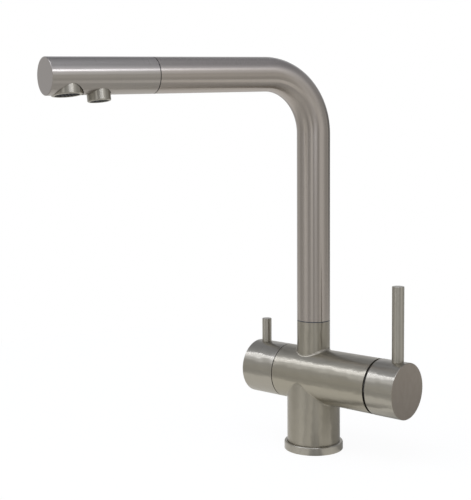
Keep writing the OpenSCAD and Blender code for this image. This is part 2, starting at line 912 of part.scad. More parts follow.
module spout_insert() {
    color("#b5975a")
    difference() {
        union() {
            translate([0, 0, socket_floor + spigot_lift])
                cylinder(h = spout_foot - socket_floor - spigot_lift + over, r = spigot_r);
            translate([0, 0, spout_foot])
                cylinder(h = insert_grip, r = insert_r);
        }
        translate([0, 0, socket_floor])
            cylinder(h = spout_foot + insert_grip, r = insert_bore_r);
        for (z = o_ring_z)
            translate([0, 0, z - o_ring_r - seat_gap])
                ring(socket_r + over, o_ring_in_r, 2 * (o_ring_r + seat_gap));
        translate([0, 0, keeper_z - keeper_tip_r - keeper_gap])
            ring(socket_r + over, keeper_groove_r, 2 * (keeper_tip_r + keeper_gap));
    }
}

module spigot_o_rings() {
    color("#202022")
    for (z = o_ring_z)
        translate([0, 0, z])
            o_ring(o_ring_in_r + o_ring_r, o_ring_r);
}

// The inner tube runs up the spout, along the arm and down into the small outlet
module filter_tube_bar(r, extra) {
    spout_bar(filter_tube_foot - extra, nozzle_x - elbow_r, r);
    on_head()
        translate([nozzle_x - elbow_r, 0, -elbow_r])
            rotate([90, 0, 0])
                rotate_extrude(angle = 90)
                    translate([elbow_r, 0])
                        circle(r);
    on_head()
        translate([nozzle_x, 0, -elbow_r - elbow_drop - extra])
            cylinder(h = elbow_drop + extra, r = r);
}

module filter_tube() {
    color("#dfe3e4")
    difference() {
        filter_tube_bar(filter_tube_r, 0);
        filter_tube_bar(filter_tube_bore_r, over);
    }
}

module head_adapter() {
    color("#3a3b3d")
    on_arm()
        difference() {
            union() {
                rod_on_arm(tube_end_x - adapter_in_tube, tube_end_x, tube_bore_r - seat_gap);
                rod_on_arm(tube_end_x - over, head_x + adapter_in_head, head_wide_r - seat_gap);
            }
            rod_on_arm(tube_end_x - adapter_in_tube - over, head_x + adapter_in_head + over, adapter_bore_r);
        }
}

module head_seam_ring() {
    color("#161616")
    on_arm()
        translate([tube_end_x, 0, 0])
            rotate([0, 90, 0])
                ring(head_r - seam_inset, head_wide_r, head_seam_w);
}

module outlet_head() {
    color("#8f8b85")
    on_head()
        difference() {
            translate([head_x, 0, 0])
                rotate([0, 90, 0])
                    rounded_rod(head_r, head_len, head_joint_edge, edge_r);
            rod_on_arm(head_x - over, head_x + head_wide_len, head_wide_r);
            rod_on_arm(head_x, arm_len - head_end_wall, head_way_r);
            translate([aerator_x, 0, -head_r - over])
                cylinder(h = aerator_high + port_roof_gap + head_r + over, r = aerator_r + port_gap);
            translate([nozzle_x, 0, -head_r - over])
                cylinder(h = head_r + over, r = nozzle_r + nozzle_port_gap);
        }
}

module aerator_housing() {
    color("#8f8b85")
    on_head()
        translate([aerator_x, 0, aerator_low])
            difference() {
                rounded_rod(aerator_r, aerator_h, outlet_edge, rim_edge);
                translate([0, 0, -over])
                    cylinder(h = aerator_h - aerator_roof + over, r = aerator_bore_r);
                cylinder(h = aerator_h + over, r = washer_in_r);
            }
}

module aerator_washer() {
    color("#202022")
    on_head()
        translate([aerator_x, 0, aerator_high - aerator_roof - washer_h])
            ring(aerator_in_r, washer_in_r, washer_h);
}

// The jet plate's holes lie on rings of six, twelve and eighteen round a centre hole
module aerator_insert() {
    color("#dfe3e4")
    on_head()
        translate([aerator_x, 0, aerator_low + aerator_recess])
            difference() {
                cylinder(h = aerator_h - aerator_roof - washer_h - aerator_recess, r = aerator_in_r);
                translate([0, 0, -over])
                    cylinder(h = aerator_h, r = jet_r);
                for (k = [1 : jet_rings])
                    for (j = [0 : 6 * k - 1])
                        rotate([0, 0, j * 60 / k])
                            translate([k * jet_pitch, 0, -over])
                                cylinder(h = aerator_h, r = jet_r);
            }
}

module filter_nozzle() {
    color("#8f8b85")
    on_head()
        translate([nozzle_x, 0, 0])
            difference() {
                translate([0, 0, nozzle_low])
                    rounded_rod(nozzle_r, nozzle_high - nozzle_low, outlet_edge, head_joint_edge);
                translate([0, 0, nozzle_low - over])
                    cylinder(h = nozzle_high - nozzle_roof_h - nozzle_low + over, r = nozzle_bore_r);
                translate([0, 0, nozzle_low])
                    cylinder(h = nozzle_high - nozzle_low + over, r = filter_tube_r + seat_gap);
                translate([0, 0, nozzle_ring_z - nozzle_ring_r - seat_gap / 2])
                    ring(nozzle_r + over, nozzle_r + nozzle_port_gap - 2 * nozzle_ring_r,
                        2 * nozzle_ring_r + seat_gap);
            }
}

module nozzle_o_ring() {
    color("#202022")
    on_head()
        translate([nozzle_x, 0, nozzle_ring_z])
            o_ring(nozzle_r + nozzle_port_gap - nozzle_ring_r, nozzle_ring_r);
}

module nozzle_screen() {
    color("#dfe3e4")
    on_head()
        translate([nozzle_x, 0, nozzle_low + screen_recess])
            difference() {
                cylinder(h = screen_h, r = nozzle_bore_r - seat_gap);
                translate([0, 0, -over])
                    cylinder(h = screen_h + 2 * over, r = jet_r);
                for (j = [0 : 5])
                    rotate([0, 0, j * 60])
                        translate([screen_jet_at, 0, -over])
                            cylinder(h = screen_h + 2 * over, r = jet_r);
            }
}

base_ring();
base_seal();
inlet_block();
tap_body();
retaining_screw();
slip_ring();
filter_nipple();
cartridge_base();
cartridge_seals();
fixed_disc();
mixing_disc();
disc_carrier();
cartridge_housing();
cartridge_nut();
cartridge_collar();
pivot_pin();
lever_stem();
mixer_cap();
mixer_pin();
mixer_set_screw();
filter_valve_body();
filter_valve_seal();
filter_fixed_disc();
filter_moving_disc();
filter_spindle();
filter_cap();
filter_pin();
filter_set_screw();
spout_tube();
spout_insert();
spigot_o_rings();
filter_tube();
head_adapter();
head_seam_ring();
outlet_head();
aerator_housing();
aerator_insert();
aerator_washer();
filter_nozzle();
nozzle_o_ring();
nozzle_screen();
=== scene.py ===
"""Brushed nickel three-way kitchen tap, dressed over its CAD frame."""
import math

import bmesh
import bpy
from mathutils import Matrix, Vector


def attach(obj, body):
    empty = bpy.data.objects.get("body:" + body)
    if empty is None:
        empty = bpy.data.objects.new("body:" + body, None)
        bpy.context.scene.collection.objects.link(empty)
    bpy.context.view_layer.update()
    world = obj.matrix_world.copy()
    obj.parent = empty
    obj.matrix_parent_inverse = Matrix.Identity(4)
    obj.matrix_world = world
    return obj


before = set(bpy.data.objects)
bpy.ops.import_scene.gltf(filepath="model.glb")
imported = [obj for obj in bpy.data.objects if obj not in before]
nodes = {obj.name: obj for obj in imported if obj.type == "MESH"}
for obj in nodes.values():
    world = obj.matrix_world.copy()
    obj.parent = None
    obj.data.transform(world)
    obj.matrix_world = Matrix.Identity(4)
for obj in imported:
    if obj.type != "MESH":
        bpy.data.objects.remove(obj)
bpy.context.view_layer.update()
scene = bpy.context.scene

MM = 0.001

# Sizes that the trims and the grain of the brushing share with the CAD, in mm and degrees. The arm's
# height is where its centreline meets the column's axis.
AXIS_Z = 63.5
BODY_R = 22.75
COLUMN_R = 22.5
COLLAR_R = 14.0
ARM_Z = 318.5
BEND_R = 48.0
BEND_ANGLE = 92.0
BEND_Z = ARM_Z - BEND_R * math.tan(math.radians(BEND_ANGLE / 2))
SPOUT_TURN = -105.0


def linear(hex_colour):
    """An sRGB hex colour as linear RGBA."""
    channels = [int(hex_colour[i:i + 2], 16) / 255 for i in (1, 3, 5)]
    return [c / 12.92 if c <= 0.04045 else ((c + 0.055) / 1.055) ** 2.4 for c in channels] + [1.0]


def add(tree, kind, inputs=None, **settings):
    """Adds one node. An input is a socket to link from, or a constant for the socket itself."""
    node = tree.nodes.new(kind)
    for name, value in settings.items():
        setattr(node, name, value)
    for key, value in (inputs or {}).items():
        if isinstance(value, bpy.types.NodeSocket):
            tree.links.new(value, node.inputs[key])
        else:
            node.inputs[key].default_value = value
    return node


def new_material(name):
    """An empty node material and its tree."""
    material = bpy.data.materials.new(name)
    material.use_nodes = True
    material.node_tree.nodes.clear()
    return material, material.node_tree


# Brushed nickel

# Nickel plating over brass, brushed with an abrasive belt while the piece turns, so the
# scratches run round it and every reflection is drawn out along its axis.
# Colours of the plating and of the scratches in it. They differ a little from piece to piece.
NICKEL = "#a6a091"
NICKEL_LINE = "#a09a8b"
CAP_NICKEL = "#a6a195"
CAP_NICKEL_LINE = "#a09b8f"
TUBE_NICKEL = "#a8a097"
TUBE_NICKEL_LINE = "#a29a91"
HEAD_NICKEL = "#a6a098"
HEAD_NICKEL_LINE = "#a19b93"
# The flat ends of head and caps, and the column and collar, which look darker than the cross body
# Painted light and shade on the flat ends: the caps' ends are darker, painted shade, and the head's end is a
# touch lighter than its side, painted light
HEAD_FACE_LIGHT = "#a8a29d"
CAP_FACE_SHADE = "#948b80"
# Painted shade: the column and collar are given a darker colour than the cross body
POST_SHADE_NICKEL = "#9b9587"
CAST_ROUGHNESS = 0.31
CAP_ROUGHNESS = 0.28
HEAD_ROUGHNESS = 0.28
TUBE_ROUGHNESS = 0.25
ROUGHNESS_SPREAD = 0.015
# Scratches: pitch, depth and the length over which they change round the piece, in mm. Real ones
# are a few hundredths of a mm apart, too fine to show, so they are drawn coarser, and shallow.
LINE_PITCH = 0.5
LINE_DEPTH = 0.0006
LINE_RUN = 60
LINE_DETAIL = 3.0
LINE_BREAKUP = 0.7
# End faces start where the normal's cosine to the axis passes this. Their brushing is finer, so
# there the scratches fade by this share to their middle value.
FACE_COSINE = 0.8
FACE_EVENNESS = 0.93
LINE_MIDDLE = 0.5
# Waves of the belt: their length, and their height on the body and caps, on the head and the small
# pieces, and on the tube, in mm
WAVE_LENGTH = 9.0
WAVE_DETAIL = 1.0
WAVE_BREAKUP = 0.4
CAST_WAVES = 0.5
HEAD_WAVES = 0.05
TUBE_WAVES = 0.04
# The upright grain starts this far outside the cross body, in mm
POST_START = 0.25


def object_place(tree):
    """The point's place in the row frame at rest, in mm, as a vector and its parts."""
    at = add(tree, "ShaderNodeTexCoord").outputs["Object"]
    in_mm = add(tree, "ShaderNodeVectorMath", {0: at, 3: 1 / MM}, operation="SCALE").outputs[0]
    return in_mm, add(tree, "ShaderNodeSeparateXYZ", {0: in_mm}).outputs


def straight_grain(axis):
    """Grain of a piece turned about a fixed axis: its direction and the place along it."""
    def grain(tree):
        in_mm, _ = object_place(tree)
        direction = add(tree, "ShaderNodeCombineXYZ", dict(enumerate(axis))).outputs[0]
        along = add(tree, "ShaderNodeVectorMath", {0: in_mm, 1: direction}, operation="DOT_PRODUCT")
        return direction, along.outputs["Value"]
    return grain


def spout_grain(tree):
    """Grain that follows the spout's centreline up the leg, round the bend and along the arm."""
    in_mm, parts = object_place(tree)
    turn = math.radians(SPOUT_TURN)
    out = (math.cos(turn), math.sin(turn), 0.0)
    reach = add(tree, "ShaderNodeVectorMath", {0: in_mm, 1: out}, operation="DOT_PRODUCT").outputs["Value"]
    across = add(tree, "ShaderNodeMath", {0: BEND_R, 1: reach}, operation="SUBTRACT").outputs[0]
    above = add(tree, "ShaderNodeMath", {0: parts[2], 1: BEND_Z}, operation="SUBTRACT").outputs[0]
    swept = add(tree, "ShaderNodeMath", {0: above, 1: across}, operation="ARCTAN2").outputs[0]
    angle = add(
        tree, "ShaderNodeClamp", {"Value": swept, "Min": 0.0, "Max": math.radians(BEND_ANGLE)}
    ).outputs[0]
    sine = add(tree, "ShaderNodeMath", {0: angle}, operation="SINE").outputs[0]
    cosine = add(tree, "ShaderNodeMath", {0: angle}, operation="COSINE").outputs[0]
    level = add(tree, "ShaderNodeVectorMath", {0: out, 3: sine}, operation="SCALE").outputs[0]
    rise = add(tree, "ShaderNodeVectorMath", {0: (0, 0, 1), 3: cosine}, operation="SCALE").outputs[0]
    direction = add(tree, "ShaderNodeVectorMath", {0: level, 1: rise}, operation="ADD").outputs[0]
    # Place along the centreline: arc swept so far, plus what lies past the arc's end
    swept_length = add(tree, "ShaderNodeMath", {0: angle, 1: BEND_R}, operation="MULTIPLY").outputs[0]
    past_level = add(tree, "ShaderNodeMath", {0: across, 1: sine}, operation="MULTIPLY").outputs[0]
    past_rise = add(tree, "ShaderNodeMath", {0: above, 1: cosine}, operation="MULTIPLY").outputs[0]
    past = add(tree, "ShaderNodeMath", {0: past_rise, 1: past_level}, operation="SUBTRACT").outputs[0]
    along = add(tree, "ShaderNodeMath", {0: swept_length, 1: past}, operation="ADD").outputs[0]
    return direction, along


def body_grain(tree):
    """Grain of the cast body: round X on the cross body, round Z on the column and collar."""
    in_mm, parts = object_place(tree)
    flat_y = add(tree, "ShaderNodeMath", {0: parts[1], 1: 2.0}, operation="POWER").outputs[0]
    lift = add(tree, "ShaderNodeMath", {0: parts[2], 1: AXIS_Z}, operation="SUBTRACT").outputs[0]
    flat_z = add(tree, "ShaderNodeMath", {0: lift, 1: 2.0}, operation="POWER").outputs[0]
    square = add(tree, "ShaderNodeMath", {0: flat_y, 1: flat_z}, operation="ADD").outputs[0]
    radius = add(tree, "ShaderNodeMath", {0: square}, operation="SQRT").outputs[0]
    past = add(
        tree, "ShaderNodeMath", {0: radius, 1: BODY_R + POST_START}, operation="GREATER_THAN"
    ).outputs[0]
    across = add(tree, "ShaderNodeMath", {0: 1.0, 1: past}, operation="SUBTRACT").outputs[0]
    direction = add(tree, "ShaderNodeCombineXYZ", {0: across, 2: past}).outputs[0]
    along = add(tree, "ShaderNodeVectorMath", {0: in_mm, 1: direction}, operation="DOT_PRODUCT")
    return direction, along.outputs["Value"]


def brushed_nickel(
    name, grain, face_grain, rough, wave_depth,
    tint=NICKEL, line_tint=NICKEL_LINE, face_tint_and_shading=NICKEL, post_shade_tint=None,
):
    """Brushed nickel whose scratches cross the grain's direction, with its own grain on end faces."""
    material, tree = new_material(name)
    direction, along = grain(tree)
    in_mm, _ = object_place(tree)

    # End faces are brushed straight, so there the grain turns to the face's own direction
    true_normal = add(tree, "ShaderNodeNewGeometry").outputs["Normal"]
    local_normal = add(
        tree, "ShaderNodeVectorTransform", {0: true_normal},
        vector_type="NORMAL", convert_from="WORLD", convert_to="OBJECT",
    ).outputs[0]
    facing = add(
        tree, "ShaderNodeVectorMath", {0: local_normal, 1: direction}, operation="DOT_PRODUCT"
    ).outputs["Value"]
    facing = add(tree, "ShaderNodeMath", {0: facing}, operation="ABSOLUTE").outputs[0]
    on_face = add(tree, "ShaderNodeMath", {0: facing, 1: FACE_COSINE}, operation="GREATER_THAN").outputs[0]
    grain_there = add(
        tree, "ShaderNodeMix", {"Factor": on_face, 4: direction, 5: face_grain}, data_type="VECTOR"
    ).outputs[1]
    on_face_along = add(
        tree, "ShaderNodeVectorMath", {0: in_mm, 1: grain_there}, operation="DOT_PRODUCT"
    ).outputs["Value"]
    along = add(
        tree, "ShaderNodeMix", {"Factor": on_face, 2: along, 3: on_face_along}, data_type="FLOAT"
    ).outputs[0]

    # Scratches: noise stretched round the piece, fine along it
    fine = add(tree, "ShaderNodeMath", {0: along, 1: 1 / LINE_PITCH}, operation="MULTIPLY").outputs[0]
    slow = add(tree, "ShaderNodeVectorMath", {0: in_mm, 3: 1 / LINE_RUN}, operation="SCALE").outputs[0]
    slow_parts = add(tree, "ShaderNodeSeparateXYZ", {0: slow}).outputs
    slow_sum = add(tree, "ShaderNodeMath", {0: slow_parts[0], 1: slow_parts[1]}, operation="ADD").outputs[0]
    line_place = add(tree, "ShaderNodeCombineXYZ", {0: fine, 1: slow_sum, 2: slow_parts[2]}).outputs[0]
    lines = add(
        tree, "ShaderNodeTexNoise",
        {"Vector": line_place, "Scale": 1.0, "Detail": LINE_DETAIL, "Roughness": LINE_BREAKUP},
    ).outputs["Fac"]
    even = add(tree, "ShaderNodeMath", {0: on_face, 1: FACE_EVENNESS}, operation="MULTIPLY").outputs[0]
    lines = add(
        tree, "ShaderNodeMix", {"Factor": even, 2: lines, 3: LINE_MIDDLE}, data_type="FLOAT"
    ).outputs[0]

    # Waves of the belt: slow hollows that make the edges of the reflections wander
    wave_place = add(
        tree, "ShaderNodeVectorMath", {0: in_mm, 3: 1 / WAVE_LENGTH}, operation="SCALE"
    ).outputs[0]
    waves = add(
        tree, "ShaderNodeTexNoise",
        {"Vector": wave_place, "Scale": 1.0, "Detail": WAVE_DETAIL, "Roughness": WAVE_BREAKUP},
    ).outputs["Fac"]

    side_colour = add(
        tree, "ShaderNodeMix", {"Factor": lines, 6: linear(tint), 7: linear(line_tint)}, data_type="RGBA"
    ).outputs[2]
    # Painted shade: where the grain turns upright, on the column and collar, the colour turns darker
    if post_shade_tint:
        upright = add(tree, "ShaderNodeSeparateXYZ", {0: direction}).outputs[2]
        side_colour = add(
            tree, "ShaderNodeMix", {"Factor": upright, 6: side_colour, 7: linear(post_shade_tint)}, data_type="RGBA"
        ).outputs[2]
    # End faces take the face colour: painted shade on the caps' ends, painted light on the head's end, and
    # the side's own colour on the other pieces
    colour = add(
        tree, "ShaderNodeMix", {"Factor": on_face, 6: side_colour, 7: linear(face_tint_and_shading)}, data_type="RGBA"
    ).outputs[2]
    roughness = add(
        tree, "ShaderNodeMapRange",
        {"Value": lines, "To Min": rough - ROUGHNESS_SPREAD, "To Max": rough + ROUGHNESS_SPREAD},
    ).outputs["Result"]
    wave_bump = add(
        tree, "ShaderNodeBump", {"Height": waves, "Strength": 1.0, "Distance": wave_depth * MM}
    ).outputs["Normal"]
    normal = add(
        tree, "ShaderNodeBump",
        {"Height": lines, "Strength": 1.0, "Distance": LINE_DEPTH * MM, "Normal": wave_bump},
    ).outputs["Normal"]

    tangent = add(
        tree, "ShaderNodeVectorTransform", {0: grain_there},
        vector_type="VECTOR", convert_from="OBJECT", convert_to="WORLD",
    ).outputs[0]
    shader = add(
        tree, "ShaderNodeBsdfPrincipled",
        {
            "Base Color": colour, "Metallic": 1.0, "Roughness": roughness,
            "Anisotropic": 1.0, "Tangent": tangent, "Normal": normal,
        },
    )
    add(tree, "ShaderNodeOutputMaterial", {"Surface": shader.outputs["BSDF"]})
    return material


# Plainer materials

# How far the roughness goes either way with the grain
GRAIN_SPREAD = 0.05
GRAIN_DETAIL = 3.0


def grained(name, colour, dark, grain, roughness, depth, metallic=0.0):
    """A solid material with an even grain: its width and depth in mm, drawn coarser than life to show."""
    material, tree = new_material(name)
    in_mm, _ = object_place(tree)
    specks = add(
        tree, "ShaderNodeTexNoise", {"Vector": in_mm, "Scale": 1 / grain, "Detail": GRAIN_DETAIL}
    ).outputs["Fac"]
    tint = add(
        tree, "ShaderNodeMix", {"Factor": specks, 6: linear(colour), 7: linear(dark)}, data_type="RGBA"
    ).outputs[2]
    rough = add(
        tree, "ShaderNodeMapRange",
        {"Value": specks, "To Min": roughness - GRAIN_SPREAD, "To Max": roughness + GRAIN_SPREAD},
    ).outputs["Result"]
    bump = add(
        tree, "ShaderNodeBump", {"Height": specks, "Strength": 1.0, "Distance": depth * MM}
    ).outputs["Normal"]
    shader = add(
        tree, "ShaderNodeBsdfPrincipled",
        {"Base Color": tint, "Metallic": metallic, "Roughness": rough, "Normal": bump},
    )
    add(tree, "ShaderNodeOutputMaterial", {"Surface": shader.outputs["BSDF"]})
    return material


LEVEL = (1.0, 0.0, 0.0)
UPRIGHT = (0.0, 0.0, 1.0)

nickel_body = brushed_nickel(
    "Brushed_nickel_body", body_grain, UPRIGHT, CAST_ROUGHNESS, CAST_WAVES, post_shade_tint=POST_SHADE_NICKEL
)
nickel_cap = brushed_nickel(
    "Brushed_nickel_cap", straight_grain(LEVEL), UPRIGHT, CAP_ROUGHNESS, CAST_WAVES,
    CAP_NICKEL, CAP_NICKEL_LINE, CAP_FACE_SHADE,
)
nickel_upright = brushed_nickel(
    "Brushed_nickel_upright", straight_grain(UPRIGHT), LEVEL, CAST_ROUGHNESS, HEAD_WAVES,
    CAP_NICKEL, CAP_NICKEL_LINE, CAP_NICKEL,
)
nickel_tube = brushed_nickel(
    "Brushed_nickel_tube", spout_grain, UPRIGHT, TUBE_ROUGHNESS, TUBE_WAVES,
    TUBE_NICKEL, TUBE_NICKEL_LINE, TUBE_NICKEL,
)
nickel_head = brushed_nickel(
    "Brushed_nickel_head", spout_grain, UPRIGHT, HEAD_ROUGHNESS, HEAD_WAVES,
    HEAD_NICKEL, HEAD_NICKEL_LINE, HEAD_FACE_LIGHT,
)
# Brass as the lathe leaves it: yellow, with a fine even grain and a dull shine
brass = grained("Machined_brass", "#b5975a", "#a3864c", 0.4, 0.35, 0.004, metallic=1.0)
# Ground stainless steel of pins and screws: neutral grey with a clearer shine
steel = grained("Stainless_steel", "#a3a19c", "#8f8d88", 0.3, 0.3, 0.003, metallic=1.0)
# Steel blackened in a hot bath: near black, with a soft metallic shine at its edges
black_steel = grained("Blackened_screw_steel", "#4c4b48", "#3d3c3a", 0.3, 0.45, 0.004, metallic=1.0)
# Brass plated with nickel and not brushed: a shade darker and flatter than the outer pieces
plated_brass = grained("Nickel_plated_brass", "#8a8479", "#7d776c", 0.4, 0.4, 0.004, metallic=1.0)
# Moulded seal rubber: black and matt, so that it reads as a thin dark line
rubber = grained("Black_rubber", "#1c1c1e", "#141415", 0.5, 0.7, 0.01)
# Moulded plastics keep the spark-eroded texture of their mould, a fine grain with a soft shine
black_plastic = grained("Black_moulded_plastic", "#161616", "#101010", 0.4, 0.45, 0.006)
grey_plastic = grained("Grey_moulded_plastic", "#3f4247", "#35383c", 0.4, 0.5, 0.006)
# The outlets' inserts have a matt mould, so that each opening reads as plain dark
dark_plastic = grained("Dark_moulded_plastic", "#2b2a29", "#252423", 0.4, 0.8, 0.002)
# Pressed, fired and lapped alumina: pale and hard, with a glassy shine
ceramic = grained("Alumina_ceramic", "#ece9e2", "#e2ded6", 0.5, 0.25, 0.002)
# The inner tube and the cartridge: pale moulded plastics, the first a little shinier
white_plastic = grained("White_moulded_plastic", "#cfd2d0", "#bfc2c0", 0.4, 0.4, 0.004)
pale_plastic = grained("Cartridge_plastic", "#d8d5cd", "#c8c5bd", 0.4, 0.45, 0.006)

FINISHES = {
    "base_ring": nickel_upright, "base_seal": rubber, "inlet_block": brass,
    "tap_body": nickel_body, "retaining_screw": steel, "slip_ring": grey_plastic,
    "filter_nipple": brass, "cartridge_base": pale_plastic, "cartridge_seals": rubber,
    "fixed_disc": ceramic, "mixing_disc": ceramic, "disc_carrier": grey_plastic,
    "cartridge_housing": pale_plastic, "cartridge_nut": plated_brass, "cartridge_collar": pale_plastic,
    "pivot_pin": steel, "lever_stem": steel, "mixer_cap": nickel_cap,
    "mixer_pin": nickel_upright, "mixer_set_screw": black_steel,
    "filter_valve_body": brass, "filter_valve_seal": rubber, "filter_fixed_disc": ceramic,
    "filter_moving_disc": ceramic, "filter_spindle": brass, "filter_cap": nickel_cap,
    "filter_pin": nickel_upright, "filter_set_screw": black_steel,
    "spout_tube": nickel_tube, "spout_insert": brass, "spigot_o_rings": rubber,
    "filter_tube": white_plastic, "head_adapter": black_plastic, "head_seam_ring": black_plastic,
    "outlet_head": nickel_head, "aerator_housing": nickel_upright,
    "aerator_insert": dark_plastic, "aerator_washer": rubber, "filter_nozzle": nickel_upright,
    "nozzle_o_ring": rubber, "nozzle_screen": dark_plastic,
}
for name, piece in nodes.items():
    piece.data.materials.clear()
    piece.data.materials.append(FINISHES[name])


# Trims

def section_strip(name, sections, closed, material, body, arc_faces):
    """Joins rings of points in mm into one closed piece that rides on a body."""
    mesh = bmesh.new()
    rings = [[mesh.verts.new(Vector(p) * MM) for p in section] for section in sections]
    count = len(sections[0])
    pairs = list(zip(rings, rings[1:])) + ([(rings[-1], rings[0])] if closed else [])
    for near, far in pairs:
        for i in range(count):
            j = (i + 1) % count
            face = mesh.faces.new((near[i], near[j], far[j], far[i]))
            face.smooth = i < arc_faces
    if not closed:
        mesh.faces.new(rings[0])
        mesh.faces.new(list(reversed(rings[-1])))
    bmesh.ops.recalc_face_normals(mesh, faces=mesh.faces[:])
    data = bpy.data.meshes.new(name)
    mesh.to_mesh(data)
    mesh.free()
    piece = bpy.data.objects.new(name, data)
    scene.collection.objects.link(piece)
    piece.data.materials.append(material)
    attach(piece, body)
    return piece


# The cast fillets: radius in mm, faces across, and how far the hidden edge sinks into the metal in
# mm. The least cosine holds that edge in where a section is nearly straight.
FILLET_R = 1.8
FILLET_STEPS = 6
FILLET_ROOT = 0.15
LEAST_COSINE = 0.3
# Sections round the collar and round each side of the column, and the column's angle either way
COLLAR_SECTIONS = 96
COLUMN_SECTIONS = 61
COLUMN_SIDE = 82


def fillet_section(post_r, up, angle):
    """The fillet's section where a ball rolls between an upright post and the cross body."""
    post = post_r + FILLET_R
    around = BODY_R + FILLET_R
    x, y = post * math.cos(angle), post * math.sin(angle)
    rise = math.sqrt(max(around ** 2 - y ** 2, 0.0))
    ball = Vector((x, y, AXIS_Z + up * rise))
    on_post = Vector((x * post_r / post, y * post_r / post, ball.z))
    on_body = Vector((x, y * BODY_R / around, AXIS_Z + up * rise * BODY_R / around))
    a, b = (on_post - ball).normalized(), (on_body - ball).normalized()
    points = [ball + a.slerp(b, i / FILLET_STEPS) * FILLET_R for i in range(FILLET_STEPS + 1)]
    middle = (a + b).normalized()
    root = ball + middle * (FILLET_R / max(a.dot(middle), LEAST_COSINE) + FILLET_ROOT)
    return points + [root]


def fillet(name, post_r, up, start, end, count, closed):
    """A cast fillet between a post and the cross body, from one angle to another in degrees."""
    steps = count if closed else count - 1
    angles = [math.radians(start + (end - start) * i / steps) for i in range(count)]
    sections = [fillet_section(post_r, up, angle) for angle in angles]
    return section_strip(name, sections, closed, nickel_body, "body", FILLET_STEPS)


fillet("collar_fillet", COLLAR_R, 1, 0, 360, COLLAR_SECTIONS, True)
fillet("column_fillet_right", COLUMN_R, -1, -COLUMN_SIDE, COLUMN_SIDE, COLUMN_SECTIONS, False)
fillet("column_fillet_left", COLUMN_R, -1, 180 - COLUMN_SIDE, 180 + COLUMN_SIDE, COLUMN_SECTIONS, False)

# Floor

# Radius, and the gap that keeps the floor clear of the foot, in m
FLOOR_R = 0.6
FLOOR_SEGMENTS = 96
FLOOR_GAP = 0.0001
# Pressed laminate, matt and nearly white, which carries the shadow
LAMINATE = "#ecebe9"
LAMINATE_ROUGHNESS = 0.8
LAMINATE_SHINE = 0.2
WHITE = linear("#ffffff")
# The share of plain glow in what camera and mirrors see of it, the glow's two levels, and where
# the bright one gives way to the dull one toward the front, in mm. Only mirrors see the dull one.
FLOOR_WHITE = 0.9
FLOOR_BRIGHT = 1.03
# The dull level below is painted shade on the floor's front, which only mirrors see
FLOOR_SHADE_LEVEL = 0.58
FLOOR_LIT_Y = -115
FLOOR_DIM_Y = -145
# Painted shade: duller patches round the foot, also for mirrors only: azimuth and half width in
# degrees, distance from the axis and half depth in mm, and what each adds to the level
FLOOR_SHADE_PATCHES = [
    (-86, 3, 60, 40, -0.35),
    (-48, 15, 35, 35, -0.7),
    (56, 40, 150, 150, -0.6),
    (-2, 16, 187, 122, -0.5),
]
# Their softness at the sides in degrees, and at the near and far end in mm
PATCH_EDGE = 4
PATCH_END = 12


def band(tree, value, centre, half, soft):
    """One inside a band of a value, with soft edges."""
    off = add(tree, "ShaderNodeMath", {0: value, 1: centre}, operation="SUBTRACT").outputs[0]
    off = add(tree, "ShaderNodeMath", {0: off}, operation="ABSOLUTE").outputs[0]
    return add(
        tree, "ShaderNodeMapRange", {"Value": off, "From Min": half + soft, "From Max": half - soft},
        interpolation_type="SMOOTHSTEP",
    ).outputs["Result"]


def angle_of(tree, rise, run):
    """The angle of a direction from two of its parts, in degrees."""
    angle = add(tree, "ShaderNodeMath", {0: rise, 1: run}, operation="ARCTAN2").outputs[0]
    return add(tree, "ShaderNodeMath", {0: angle}, operation="DEGREES").outputs[0]


def sector(tree, azimuth, side, half, soft):
    """One inside a sector of azimuths, with soft edges."""
    off = add(tree, "ShaderNodeMath", {0: azimuth, 1: side}, operation="SUBTRACT").outputs[0]
    off = add(tree, "ShaderNodeMath", {0: off, 1: 180.0, 2: -180.0}, operation="WRAP").outputs[0]
    return band(tree, off, 0.0, half, soft)


def plus(tree, level, one, other, strength):
    """Adds a patch, the product of two bands, to a level."""
    patch = add(tree, "ShaderNodeMath", {0: one, 1: other}, operation="MULTIPLY").outputs[0]
    return add(
        tree, "ShaderNodeMath", {0: patch, 1: strength, 2: level}, operation="MULTIPLY_ADD"
    ).outputs[0]


def background_rays(tree):
    """The rays that see the background, each as one or zero: from the camera, and by mirror or glass."""
    path = add(tree, "ShaderNodeLightPath").outputs
    glossy = add(
        tree, "ShaderNodeMath", {0: path["Is Glossy Ray"], 1: path["Is Transmission Ray"]},
        operation="MAXIMUM",
    ).outputs[0]
    return path["Is Camera Ray"], glossy


